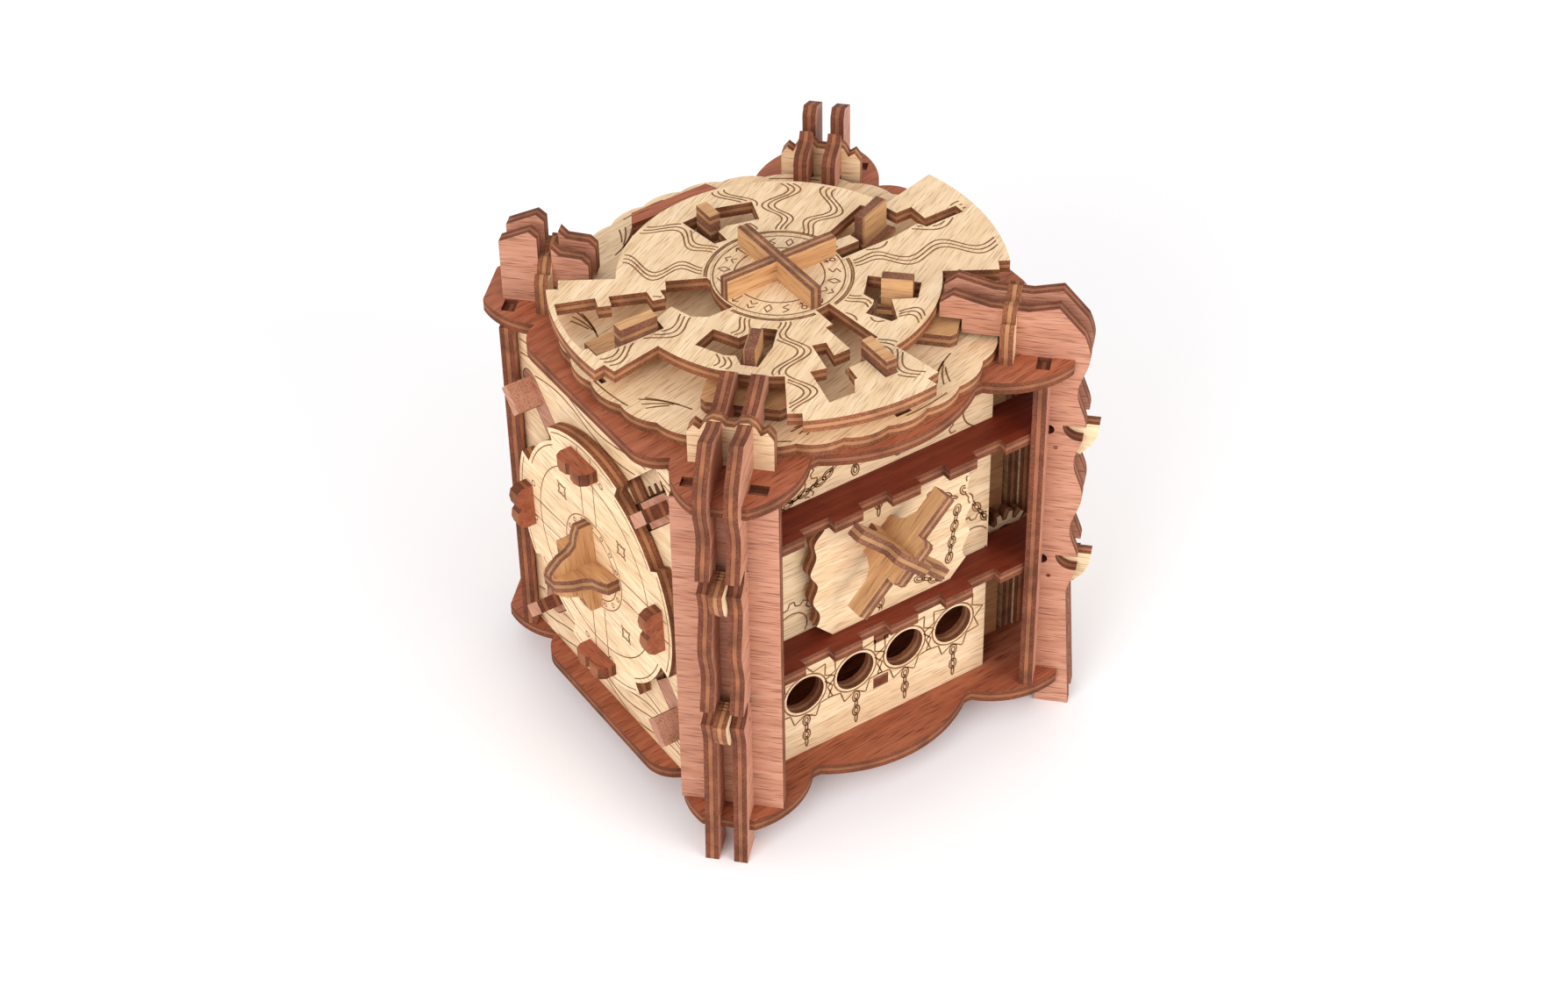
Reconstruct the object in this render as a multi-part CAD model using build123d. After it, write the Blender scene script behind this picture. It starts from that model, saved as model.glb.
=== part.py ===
from build123d import *
from math import cos, sin, pi, radians, degrees, atan2, hypot
import os

# Wooden puzzle box: laser-cut ply, four diagonal corners, a slotted sun disc on top,
# a dial on the left wall and a shield with a crossed knob on the front.
# Drawn about the axis of the sun disc, feet at z = 0, front faces -Y, dial faces -X.

# ---- driving dimensions, mm ----
PLY = 4.0
FOOT = 10.0
WALL_TOP = 129.0
PLATE_TOP = WALL_TOP + PLY
BASE_TOP = FOOT + PLY
SIDE_X = 61.1
FRONT_Y = 50.8
SIDE_HALF = 45.0
PANEL_HALF = 38.6
BOARD_R = 79.2
BOARD_W = 30.2
FIN_IN = 2.24
FIN_OUT = FIN_IN + PLY
FIN_R = 89.5
FIN_STEP = 25.5
COLLAR_R = 64.7
COLLAR_W = 24.0
LAP_Z = 141.0
SCALLOP_R = 64.3
DISC_Z = 143.0
DISC_R = 66.0
DISC_R_IN = 46.3
HUB_R = 19.5
POST_R = 4.0
RUN = 0.05
LEDGES = {"ledge_lower": 58.3, "ledge_upper": 107.2}
LEDGE_Y = 62.9
DIAL_Z = 71.5
DIAL_R = 42.0
DIAL_R_IN = 38.0
DIAL_GAP = 0.7
DIAL_TILT = 5.0
MODULE = 1.5
PINION_N = 16
SHAFT_R = 3.0
CORNERS = {"ne": 45, "nw": 135, "sw": 225, "se": 315}
FRONT = ("sw", "se")
BACK_LEG = (66.0, 75.2)
LATCH_Z = {"low": 51.3, "high": 100.6}
PIN_R = 0.7
KNOB_X = -4.2
KNOB_Z = 92.0

PARTS = {}


# ---- shared shapes ----
def prism(points, thick, plane=Plane.XY):
    """A closed outline pushed out along the plane's normal."""
    return extrude(plane * make_face(Polyline(*points, close=True)), thick)


def upright(y_back):
    """Plane whose local x, y run along X and Z and whose normal points to the front."""
    return Plane(origin=(0, y_back, 0), x_dir=(1, 0, 0), z_dir=(0, -1, 0))


def sideways(x_face):
    """Plane centred on the dial axis, local x toward the front, normal pointing left."""
    return Plane(origin=(x_face, 0, DIAL_Z), x_dir=(0, -1, 0), z_dir=(-1, 0, 0))


def box(x0, x1, y0, y1, z0, z1):
    """A box between two corners."""
    return Pos((x0 + x1) / 2, (y0 + y1) / 2, (z0 + z1) / 2) * Box(x1 - x0, y1 - y0, z1 - z0)


def disc(r, z0, z1, x=0.0, y=0.0):
    """An upright round between two heights."""
    return Pos(x, y, (z0 + z1) / 2) * Cylinder(r, z1 - z0)


def polar(r, deg):
    """Point at a radius and an angle from +X."""
    return (r * cos(radians(deg)), r * sin(radians(deg)))


def fin_fits(z0, z1):
    """The four pairs of openings that the fins drop into at the corners of a plate."""
    cuts = []
    for name, deg in CORNERS.items():
        r0, r1 = (BOARD_R, 100) if name in FRONT else BACK_LEG
        for side in (-1, 1):
            u = side * (FIN_IN + FIN_OUT) / 2
            cuts.append(Rot(0, 0, deg) * box(r0, r1, u - PLY / 2, u + PLY / 2, z0, z1))
    return cuts


def board_fits(z0, z1):
    """Mortises for the two tenons on the end of each corner board."""
    cuts = []
    for deg in CORNERS.values():
        for side in (-1, 1):
            u = side * 9.4
            cuts.append(Rot(0, 0, deg) * box(BOARD_R - PLY, BOARD_R, u - 2.7, u + 2.7, z0, z1))
    return cuts


def plate_outline():
    """Lobed outline shared by the top and bottom plates."""
    edges = []
    for sx, sy in ((-1, -1), (1, 1)):
        edges.append(Line((66 * sx, 55 * sy), (55 * sx, 66 * sy)))
        edges.append(ThreePointArc((55 * sx, 66 * sy), (40 * sx, 65.2 * sy), (29 * sx, 58 * sy)))
        edges.append(Line((29 * sx, 58 * sy), (26.5 * sx, 58 * sy)))
        edges.append(ThreePointArc((26.5 * sx, 58 * sy), (0, 66.5 * sy), (-26.5 * sx, 58 * sy)))
        edges.append(Line((-26.5 * sx, 58 * sy), (-29 * sx, 58 * sy)))
        edges.append(ThreePointArc((-29 * sx, 58 * sy), (-40 * sx, 65.2 * sy), (-55 * sx, 66 * sy)))
        edges.append(Line((-55 * sx, 66 * sy), (-66 * sx, 55 * sy)))
        edges.append(ThreePointArc((-66 * sx, 55 * sy), (-65 * sx, 44 * sy), (-60 * sx, 36 * sy)))
        edges.append(ThreePointArc((-60 * sx, 36 * sy), (-64.8 * sx, 32.5 * sy), (-67 * sx, 26 * sy)))
        edges.append(Line((-67 * sx, 26 * sy), (-67 * sx, -26 * sy)))
        edges.append(ThreePointArc((-67 * sx, -26 * sy), (-64.8 * sx, -32.5 * sy), (-60 * sx, -36 * sy)))
        edges.append(ThreePointArc((-60 * sx, -36 * sy), (-65 * sx, -44 * sy), (-66 * sx, -55 * sy)))
    return make_face(edges)


def toothed(n, root, tip, plane, thick):
    """A spur wheel with straight-sided teeth."""
    points = []
    for k in range(n):
        a = 360 * k / n
        step = 360 / n
        points.append(polar(root, a - 0.30 * step))
        points.append(polar(tip, a - 0.15 * step))
        points.append(polar(tip, a + 0.15 * step))
        points.append(polar(root, a + 0.30 * step))
    return prism(points, thick, plane)


# ---- plates ----
base = extrude(plate_outline(), PLY).moved(Location((0, 0, FOOT)))
for cut in fin_fits(FOOT, BASE_TOP) + board_fits(FOOT, BASE_TOP):
    base -= cut
PARTS["base_plate"] = base

top = extrude(plate_outline(), PLY).moved(Location((0, 0, WALL_TOP)))
for cut in fin_fits(WALL_TOP, PLATE_TOP) + board_fits(WALL_TOP, PLATE_TOP):
    top -= cut
PARTS["top_plate"] = top - disc(POST_R, WALL_TOP, PLATE_TOP)


# ---- corner boards, fins and collars, drawn along +X and turned to each corner ----
TENONS = ((18.0, 42.0), (76.0, 101.0))


def corner_board(mortised):
    """Board across the corner, tenoned top and bottom; front ones are mortised for the fins."""
    body = box(BOARD_R - PLY, BOARD_R, -BOARD_W / 2, BOARD_W / 2, BASE_TOP, WALL_TOP)
    for side in (-1, 1):
        u = side * 9.4
        body += box(BOARD_R - PLY, BOARD_R, u - 2.7, u + 2.7, FOOT + 1.5, BASE_TOP)
        body += box(BOARD_R - PLY, BOARD_R, u - 2.7, u + 2.7, WALL_TOP, PLATE_TOP - 1.5)
        v = side * (FIN_IN + FIN_OUT) / 2
        for z0, z1 in TENONS if mortised else ():
            body -= box(BOARD_R - PLY, BOARD_R, v - PLY / 2, v + PLY / 2, z0, z1)
    return body


def front_fin(side):
    """Upright fin: foot, wavy outer edge and a hooked arm reaching in over the top."""
    waves = []
    for k in range(27):
        z = 141.5 - 3.7 * k
        waves.append((88.4 + 1.5 * cos(2 * pi * (z - 134) / FIN_STEP), z))
    arm = [
        (FIN_R, 0),
        (BOARD_R, 0),
        (BOARD_R, PLATE_TOP),
        (COLLAR_R - 0.2, PLATE_TOP),
        (COLLAR_R - 0.2, 138.5),
        (53.3, 138.5),
        (53.3, 143.2),
        (46.9, 143.2),
        (46.9, 148),
        (50.5, 151),
        (61, 148.2),
        (72, 148),
        (80.5, 150.2),
        waves[0],
    ]
    face = make_face([Polyline(*arm), Spline(*waves), Line(waves[-1], (FIN_R, 0))])
    plane = Plane(origin=(0, PLY / 2, 0), x_dir=(1, 0, 0), z_dir=(0, -1, 0))
    body = extrude(plane * face, PLY)
    for z0, z1 in TENONS:
        body += box(BOARD_R - PLY, BOARD_R, -PLY / 2, PLY / 2, z0, z1)
    body -= box(COLLAR_R, COLLAR_R + PLY, -PLY, PLY, LAP_Z, 160)
    for z in LATCH_Z.values():
        moon = Pos(88.4, 0, z + 8.4) * (Rot(90, 0, 0) * Cylinder(5.2, 2 * PLY))
        body -= moon - box(80, 100, -PLY, PLY, z + 8.4, z + 20)
        body -= Pos(BOARD_R, 0, z + 6.4) * (Rot(90, 0, 0) * Cylinder(1.7, 2 * PLY))
        body -= Pos(81.5, 0, z) * (Rot(90, 0, 0) * Cylinder(PIN_R, 2 * PLY))
    return Pos(0, side * (FIN_IN + FIN_OUT) / 2, 0) * body


def back_fin(side):
    """Back fin: a leg inside the corner, through both plates, and a peaked arm on top."""
    outline = [
        (BACK_LEG[1], 0), (BACK_LEG[1], PLATE_TOP), (80, PLATE_TOP), (80, 153), (71, 157.3),
        (COLLAR_R + PLY, 155.3), (COLLAR_R, 152.3), (62.5, 150), (56, 149.6), (54, 147.6),
        (54, 138.5), (COLLAR_R - 0.2, 138.5), (COLLAR_R - 0.2, PLATE_TOP),
        (BACK_LEG[0], PLATE_TOP), (BACK_LEG[0], 0),
    ]
    plane = Plane(origin=(0, PLY / 2, 0), x_dir=(1, 0, 0), z_dir=(0, -1, 0))
    body = prism(outline, PLY, plane)
    body -= box(COLLAR_R, COLLAR_R + PLY, -PLY, PLY, LAP_Z, 170)
    return Pos(0, side * (FIN_IN + FIN_OUT) / 2, 0) * body


def collar():
    """Crested cross-piece half-lapped over both fins of a corner."""
    half = [(12, 133), (12, 143.5), (10.2, 146), (8.4, 144.6), (7.0, 147.2), (5.0, 148.6)]
    half += [(2.6, 148.2), (1.2, 146.6)]
    outline = half + [(-u, z) for u, z in reversed(half)]
    face = Plane(origin=(COLLAR_R, 0, 0), x_dir=(0, 1, 0), z_dir=(1, 0, 0))
    body = prism(outline, PLY, face)
    for side in (-1, 1):
        v = side * (FIN_IN + FIN_OUT) / 2
        body -= box(COLLAR_R, COLLAR_R + PLY, v - PLY / 2, v + PLY / 2, PLATE_TOP, LAP_Z)
    return body


def latch(z):
    """Thumb latch between a pair of fins, pivoting on its pin, with a toothed back."""
    nose = [(81.5, z - 1.9), (88.2, z - 5.0), (91.2, z - 1.6), (93.0, z + 2.6), (93.4, z + 6.5)]
    comb = [(86.4 - 0.62 * k, z + (6.5 if k % 2 == 0 else 5.2)) for k in range(7)]
    plane = Plane(origin=(0, PLY / 2 - 0.05, 0), x_dir=(1, 0, 0), z_dir=(0, -1, 0))
    body = prism(nose + comb + [(81.5, z + 1.9)], PLY - 0.1, plane)
    barrel = Pos(81.5, 0, z) * (Rot(90, 0, 0) * Cylinder(1.9, PLY - 0.1))
    bore = Pos(81.5, 0, z) * (Rot(90, 0, 0) * Cylinder(PIN_R + RUN, 3 * PLY))
    return body + barrel - bore


pins = []
for name, deg in CORNERS.items():
    turn = Rot(0, 0, deg)
    fin = front_fin if name in FRONT else back_fin
    PARTS["board_" + name] = turn * corner_board(name in FRONT)
    PARTS["fin_" + name + "_a"] = turn * fin(-1)
    PARTS["fin_" + name + "_b"] = turn * fin(1)
    PARTS["collar_" + name] = turn * collar()
    for level, z in LATCH_Z.items() if name in FRONT else ():
        pins.append(turn * (Pos(81.5, 0, z) * (Rot(90, 0, 0) * Cylinder(PIN_R, 2 * FIN_OUT))))
        PARTS["latch_" + name + "_" + level] = turn * latch(z)
PARTS["latch_pins"] = Compound(pins)


# ---- walls ----
def diagonal(s, off, deg):
    """Point s along a diagonal of the dial wall and off to its left."""
    a = radians(deg)
    return (s * cos(a) - off * sin(a), s * sin(a) + off * cos(a))


def strip(s0, s1, half, deg, x_face, thick, off=0.0):
    """A straight strip lying along a diagonal of the dial wall."""
    points = [
        diagonal(s0, off - half, deg),
        diagonal(s1, off - half, deg),
        diagonal(s1, off + half, deg),
        diagonal(s0, off + half, deg),
    ]
    return prism(points, thick, sideways(x_face))


SLIDES = {"slider_ur": (45, 6), "slider_ul": (135, 0), "slider_ll": (225, 6), "slider_lr": (315, 0)}
RAIL_IN = 39.0
RAIL_OUT = 56.4
PULL_TRAVEL = 5.0
PULL_IN = 48.0
PULL_LEN = 9.0
PULL_OUT = 8.2
left = box(-SIDE_X, -SIDE_X + PLY, -SIDE_HALF, SIDE_HALF, BASE_TOP, WALL_TOP)
for deg, off in SLIDES.values():
    left -= strip(RAIL_IN - PULL_TRAVEL - 0.5, RAIL_OUT, 4.3, deg, -SIDE_X + PLY, PLY, off)
    end = sideways(-SIDE_X + PLY) * Pos(*diagonal(RAIL_OUT - 1, off, deg)) * Circle(4.3)
    left -= extrude(end, PLY)
left -= strip(36, 59, 4.0, 45, -SIDE_X + PLY, PLY, 13.2)
left -= extrude(sideways(-SIDE_X + PLY) * Circle(SHAFT_R + RUN), PLY)
PARTS["left_wall"] = left
PARTS["right_wall"] = box(SIDE_X - PLY, SIDE_X, -41.5, SIDE_HALF, BASE_TOP, WALL_TOP)
PARTS["back_wall"] = box(-PANEL_HALF, PANEL_HALF, FRONT_Y - PLY, FRONT_Y, BASE_TOP, WALL_TOP)

front = box(-PANEL_HALF, PANEL_HALF, -FRONT_Y, -FRONT_Y + PLY, BASE_TOP, WALL_TOP)
for k in range(4):
    port = Pos(-26.7 + 17.8 * k, -FRONT_Y, 37.1) * (Rot(90, 0, 0) * Cylinder(6.6, 3 * PLY))
    front -= port
for z in LEDGES.values():
    for x in (-24, 0, 24):
        front -= box(x - 4, x + 4, -FRONT_Y, -FRONT_Y + PLY, z, z + PLY)
PARTS["front_panel"] = front


# ---- ledges across the front, with a crenellated edge ----
def ledge(z):
    """Shelf in front of the panel, its ends cut to the corner boards."""
    reach = (BOARD_R - PLY) * 2 ** 0.5
    outline = [
        (-(reach - FRONT_Y), -FRONT_Y),
        (-(reach - LEDGE_Y), -LEDGE_Y),
        (reach - LEDGE_Y, -LEDGE_Y),
        (reach - FRONT_Y, -FRONT_Y),
    ]
    body = prism(outline, PLY).moved(Location((0, 0, z)))
    for k in range(-2, 2):
        x = 19.6 * k + 9.8
        body -= box(x - 5, x + 5, -LEDGE_Y, -LEDGE_Y + 2.9, z, z + PLY)
    for side in (-1, 1):
        x0 = PANEL_HALF + 0.2
        x1 = reach - FRONT_Y
        body += box(min(side * x0, side * x1), max(side * x0, side * x1), -FRONT_Y, -47, z, z + PLY)
    for x in (-24, 0, 24):
        body += box(x - 4, x + 4, -FRONT_Y, -FRONT_Y + PLY, z, z + PLY)
    return body


for name, z in LEDGES.items():
    PARTS[name] = ledge(z)


# ---- slats and the free wheel seen in the gap beside the front panel ----
WHEEL = (48.7, 56.0)
slat_b = box(46.2, 51.2, -40.8, -36.8, BASE_TOP, WALL_TOP)
bore = Pos(WHEEL[0], -38.8, WHEEL[1]) * (Rot(90, 0, 0) * Cylinder(2 + RUN, 2 * PLY))
PARTS["slat_a"] = box(53.2, 56.9, -40.8, -36.8, BASE_TOP, WALL_TOP)
PARTS["slat_b"] = slat_b - bore
wheel_plane = Plane(origin=(WHEEL[0], -41.8, WHEEL[1]), x_dir=(1, 0, 0), z_dir=(0, -1, 0))
wheel = toothed(14, 7.8, 10.6, wheel_plane, PLY)
wheel -= extrude(wheel_plane * Circle(5.8), PLY) - extrude(wheel_plane * Circle(3.2), PLY)
for k in range(3):
    spoke = Rot(0, 0, 120 * k) * Pos(4.5, 0) * Rectangle(3.8, 2.2)
    wheel += extrude(wheel_plane * spoke, PLY)
wheel += Pos(WHEEL[0], -39.3, WHEEL[1]) * (Rot(90, 0, 0) * Cylinder(2, 9))
PARTS["wheel"] = wheel


# ---- top: scalloped disc, post, sun disc, hub, pegs, bolts ----
arcs = []
SCALLOPS = 30
for k in range(SCALLOPS):
    step = 360 / SCALLOPS
    low = polar(SCALLOP_R - 1.3, k * step)
    high = polar(SCALLOP_R, (k + 0.5) * step)
    arcs.append(ThreePointArc(low, high, polar(SCALLOP_R - 1.3, (k + 1) * step)))
scallop = extrude(make_face(arcs), PLY).moved(Location((0, 0, PLATE_TOP)))
scallop -= disc(POST_R, PLATE_TOP, PLATE_TOP + PLY)
for k in range(4):
    scallop -= Rot(0, 0, 90 * k) * box(59.3, 61.0, -2.5, 2.5, PLATE_TOP, PLATE_TOP + PLY)
PARTS["scallop_disc"] = scallop

post = disc(POST_R, WALL_TOP, DISC_Z + PLY - 0.2)
PARTS["top_post"] = post + disc(17, PLATE_TOP + PLY, DISC_Z - 0.2)
bar = [(-17, 52), (14, 52), (12, 57), (-14, 57)]
PARTS["back_bar"] = prism(bar, PLY).moved(Location((0, 0, PLATE_TOP + PLY)))

sectors = ((147.5, 190.0), (238.0, 280.0), (327.5, 374.0))
sun = disc(DISC_R_IN, DISC_Z, DISC_Z + PLY)
for a0, a1 in sectors:
    rim = ThreePointArc(polar(DISC_R, a0), polar(DISC_R, (a0 + a1) / 2), polar(DISC_R, a1))
    ends = [Line((0, 0), polar(DISC_R, a0)), rim, Line(polar(DISC_R, a1), (0, 0))]
    sun += extrude(make_face(ends), PLY).moved(Location((0, 0, DISC_Z)))
    for a, turn in ((a0, 1), (a1, -1))[: 1 if a1 > 360 else 2]:
        x, y = polar(DISC_R, a + turn * 1.2)
        sun -= Pos(x, y, DISC_Z + PLY / 2) * (Rot(0, 0, a) * Box(7, 5.5, 2 * PLY))
slot_left = [
    (-17.5, 10.5), (-28, 16), (-30, 12.5), (-31.5, 13.2), (-32.3, 9.2), (-35.8, 10.2),
    (-35, 14.7), (-45, 19), (-46.5, 15), (-50, 16.5), (-48.5, 20.5), (-59.4, 24.6),
    (-62, 18), (-63.8, 9), (-63.8, 2), (-62, 2), (-62, -2.3), (-40, -2.3), (-39.5, 2.5),
    (-33, 5), (-31, -2), (-27, -5), (-17, -5),
]
slot_front = [
    (-0.8, -17), (3.8, -17), (6.3, -39.5), (1.9, -40), (1.9, -55.3), (-2.3, -55.3),
    (-2.3, -46), (-8, -46), (-8.8, -51.2), (-9.8, -51.2), (-13, -56), (-21, -55.5),
    (-17.8, -41.5), (-13.2, -42.8), (-10.8, -32.2), (-6.8, -33.3), (-8.3, -39.3),
    (-3, -39.3), (-3, -27.6), (-0.6, -27.6),
]
slot_right = [
    (16, -3.6), (36.5, -3.6), (46.8, -2.2), (48, -5), (61, -5), (61, -1.3), (50, -1.3),
    (50, 5.5), (44.8, 5.5), (43.8, 10), (41, 10.8), (38.5, 14.8), (21, 8), (21.5, 4.6),
    (27.5, 4.4), (28, 0.6), (16, 0.6),
]
slot_back = [
    (-8.8, 37), (-6.8, 23), (-2.8, 22.5), (-2.6, 27.4), (0.8, 28.4), (10.5, 25.8),
    (13.5, 34.2), (3.2, 37.6),
]
slot_fl = [
    (-37, -13.5), (-29, -10.4), (-25.4, -17.8), (-17.5, -17.8), (-14.5, -20.8),
    (-20, -26.6), (-28.2, -31.6), (-31.6, -28.2), (-30.5, -24), (-33, -22),
]
slot_fr = [
    (16.8, -18.6), (20.4, -14.6), (31, -26), (26, -31.2), (19.5, -27.5), (15.6, -35.8),
    (13.6, -35.8), (9.8, -28.6), (13.6, -26.6), (15.2, -25), (14.4, -21),
]
for outline in (slot_left, slot_front, slot_right, slot_back, slot_fl, slot_fr):
    sun -= prism(outline, 3 * PLY).moved(Location((0, 0, DISC_Z - PLY)))
sun -= disc(HUB_R + 0.08, DISC_Z - 1, DISC_Z + PLY + 1)
PARTS["sun_disc"] = sun

PARTS["hub_disc"] = disc(HUB_R, DISC_Z, DISC_Z + PLY) - disc(POST_R + RUN, DISC_Z, DISC_Z + PLY)
HUB_TOP = DISC_Z + PLY
slat_x = box(-18.5, 18.5, -1.75, 1.75, HUB_TOP, HUB_TOP + 6.5)
PARTS["hub_slat_x"] = slat_x - box(-1.75, 1.75, -2, 2, HUB_TOP + 3.25, HUB_TOP + 7)
slat_y = box(-1.75, 1.75, -18.5, 18.5, HUB_TOP, HUB_TOP + 6.5)
PARTS["hub_slat_y"] = slat_y - box(-2, 2, -1.75, 1.75, HUB_TOP - 1, HUB_TOP + 3.25)


def peg(x, y, deg, length, foot_l, foot_w, foot_t):
    """Upright tab in a slot of the sun disc, on a wider foot underneath."""
    z0 = DISC_Z - 0.2 - foot_t
    body = box(-length / 2, length / 2, -1.75, 1.75, z0, HUB_TOP + 5)
    body += box(-foot_l / 2, foot_l / 2, -foot_w / 2, foot_w / 2, z0, z0 + foot_t)
    return Pos(x, y, 0) * (Rot(0, 0, deg) * body)


foot_left = box(-59, -40, -3.6, 9.5, DISC_Z - 4.2, DISC_Z - 0.2)
PARTS["peg_left"] = peg(-47.8, -0.2, 0, 12, 12, 3.5, PLY) + foot_left
PARTS["peg_front"] = peg(-0.2, -49.1, 90, 12, 15, 12, 1.5)
PARTS["peg_right"] = peg(36.1, 6.25, 22, 11.6, 13, 9, 1.5)
PARTS["peg_back"] = peg(-2.8, 32.4, 90, 7.2, 11, 9, 1.5)
PARTS["peg_fl"] = peg(-26, -26, 45, 10, 11, 8, 1.5)
PARTS["peg_fr"] = peg(23.3, -25.1, -43, 9, 11, 8, 1.5)


def bolt():
    """Flat bolt lying under the tips of a pair of fins."""
    outline = [(40, -12), (51, -12), (52.6, -10.4), (52.6, 10.4), (51, 12), (40, 12)]
    body = prism(outline, PLY).moved(Location((0, 0, PLATE_TOP + PLY + 0.1)))
    return body


for name in ("sw", "se"):
    PARTS["bolt_" + name] = Rot(0, 0, CORNERS[name]) * bolt()


# ---- dial on the left wall ----
dial_plane = sideways(-SIDE_X - DIAL_GAP)
FACE_X = -SIDE_X - DIAL_GAP - PLY
edges = []
for k in range(4):
    a0 = 45 + 90 * k + DIAL_TILT
    p = [polar(DIAL_R_IN, a0 - 18), polar(DIAL_R_IN, a0), polar(DIAL_R_IN, a0 + 18)]
    q = [polar(DIAL_R, a0 + 18), polar(DIAL_R, a0 + 45), polar(DIAL_R, a0 + 72)]
    edges.append(ThreePointArc(*p))
    edges.append(Line(p[2], q[0]))
    edges.append(ThreePointArc(*q))
    edges.append(Line(q[2], polar(DIAL_R_IN, a0 + 72)))
PARTS["dial_disc"] = extrude(dial_plane * (make_face(edges) - Circle(SHAFT_R)), PLY)

tab_outline = [
    (-7.2, 0), (7.2, 0), (7.2, 3.6), (6.0, 5.4), (3.8, 6), (1.4, 5.6), (0, 4.4), (-1.4, 5.6),
    (-3.8, 6), (-6.0, 5.4), (-7.2, 3.6),
]
tabs = []
for k in range(4):
    a = radians(90 * k + 3)
    mid = Vector(FACE_X, -34 * cos(a), DIAL_Z + 34 * sin(a))
    along = Vector(0, sin(a), cos(a))
    outward = Vector(0, -cos(a), sin(a))
    plane = Plane(origin=mid, x_dir=along, z_dir=outward)
    flip = plane.y_dir.X > 0
    points = [(t, -h) for t, h in tab_outline] if flip else tab_outline
    tabs.append(prism(points, PLY, plane))
PARTS["dial_tabs"] = Compound(tabs)

knob_half = [(14.5, 0), (14.5, 4), (12, 5.2), (9, 6.0), (7.4, 8), (6.4, 11), (4.6, 13.4), (3, 15)]


def knob_slat(deg, lap0, lap1):
    """One of two crossed slats on the dial, tall in the middle and low at the ends."""
    a = radians(deg)
    along = Vector(0, -cos(a), sin(a))
    across = Vector(0, sin(a), cos(a))
    outline = knob_half + [(-t, h) for t, h in reversed(knob_half)]
    plane = Plane(origin=Vector(FACE_X, 0, DIAL_Z) - across * (PLY / 2), x_dir=along, z_dir=across)
    points = [(t, -h) for t, h in outline] if plane.y_dir.X > 0 else outline
    lap = [(-2, lap0), (2, lap0), (2, lap1), (-2, lap1)]
    notch = [(t, -h) for t, h in lap] if plane.y_dir.X > 0 else lap
    return prism(points, PLY, plane) - prism(notch, PLY, plane)


PARTS["dial_slat_a"] = knob_slat(90 + 8, 7.5, 16)
PARTS["dial_slat_b"] = knob_slat(8, -1, 7.5)

# Pinion behind the wall, one piece with the shaft that carries the dial.
MESH_X = -SIDE_X + PLY + 1
shaft = Pos((FACE_X - 49.5) / 2, 0, DIAL_Z) * (Rot(0, 90, 0) * Cylinder(SHAFT_R, -49.5 - FACE_X))
pitch_r = MODULE * PINION_N / 2
gear_face = sideways(MESH_X + PLY)
pinion = toothed(PINION_N, pitch_r - 1.5, pitch_r + 1.2, gear_face, PLY)
PARTS["dial_pinion"] = shaft + pinion

# Rack along the upper right diagonal, teeth toward the pinion.
pitch = pi * MODULE
rack_points = [diagonal(-24, 18, 45), diagonal(-24, pitch_r + 1.5, 45)]
for k in range(-5, 12):
    s = (k + 0.5) * pitch
    rack_points.append(diagonal(s - 0.30 * pitch, pitch_r + 1.5, 45))
    rack_points.append(diagonal(s - 0.15 * pitch, pitch_r - 1.2, 45))
    rack_points.append(diagonal(s + 0.15 * pitch, pitch_r - 1.2, 45))
    rack_points.append(diagonal(s + 0.30 * pitch, pitch_r + 1.5, 45))
rack_points.append(diagonal(55, pitch_r + 1.5, 45))
rack_points.append(diagonal(55, 18, 45))
PARTS["rack"] = prism(rack_points, PLY, gear_face)

for name, (deg, off) in SLIDES.items():
    rail = strip(RAIL_IN, RAIL_OUT - 1, 4.0, deg, -SIDE_X + PLY, PLY, off)
    end = sideways(-SIDE_X + PLY) * Pos(*diagonal(RAIL_OUT - 1, off, deg)) * Circle(4.0)
    pull = strip(PULL_IN, PULL_IN + PULL_LEN, PLY / 2, deg, -SIDE_X, PULL_OUT, off)
    PARTS[name] = rail + extrude(end, PLY) + pull


# ---- shield and crossed knob on the front ----
SHIELD_Y = 52.4
edge = [(20.8, 62.4), (26.3, 68.2), (25.4, 73), (27.4, 78), (25.8, 83), (28.2, 88.5)]
edge += [(26.2, 94), (26.8, 99), (23.6, 103), (22.4, 106.9)]
right_side = Spline(*edge[1:])
mirror_edge = [(-x, z) for x, z in edge]
left_side = Spline(*reversed(mirror_edge[1:]))
shield = make_face([
    Line(mirror_edge[0], edge[0]),
    Line(edge[0], edge[1]),
    right_side,
    Line(edge[-1], mirror_edge[-1]),
    left_side,
    Line(mirror_edge[1], mirror_edge[0]),
])
shield = extrude(upright(-SHIELD_Y) * shield, PLY)
hole = Pos(KNOB_X, -SHIELD_Y, KNOB_Z) * (Rot(90, 0, 0) * Cylinder(2.9, 4 * PLY))
PARTS["shield"] = shield - hole

ARM_H = 6.9


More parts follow.
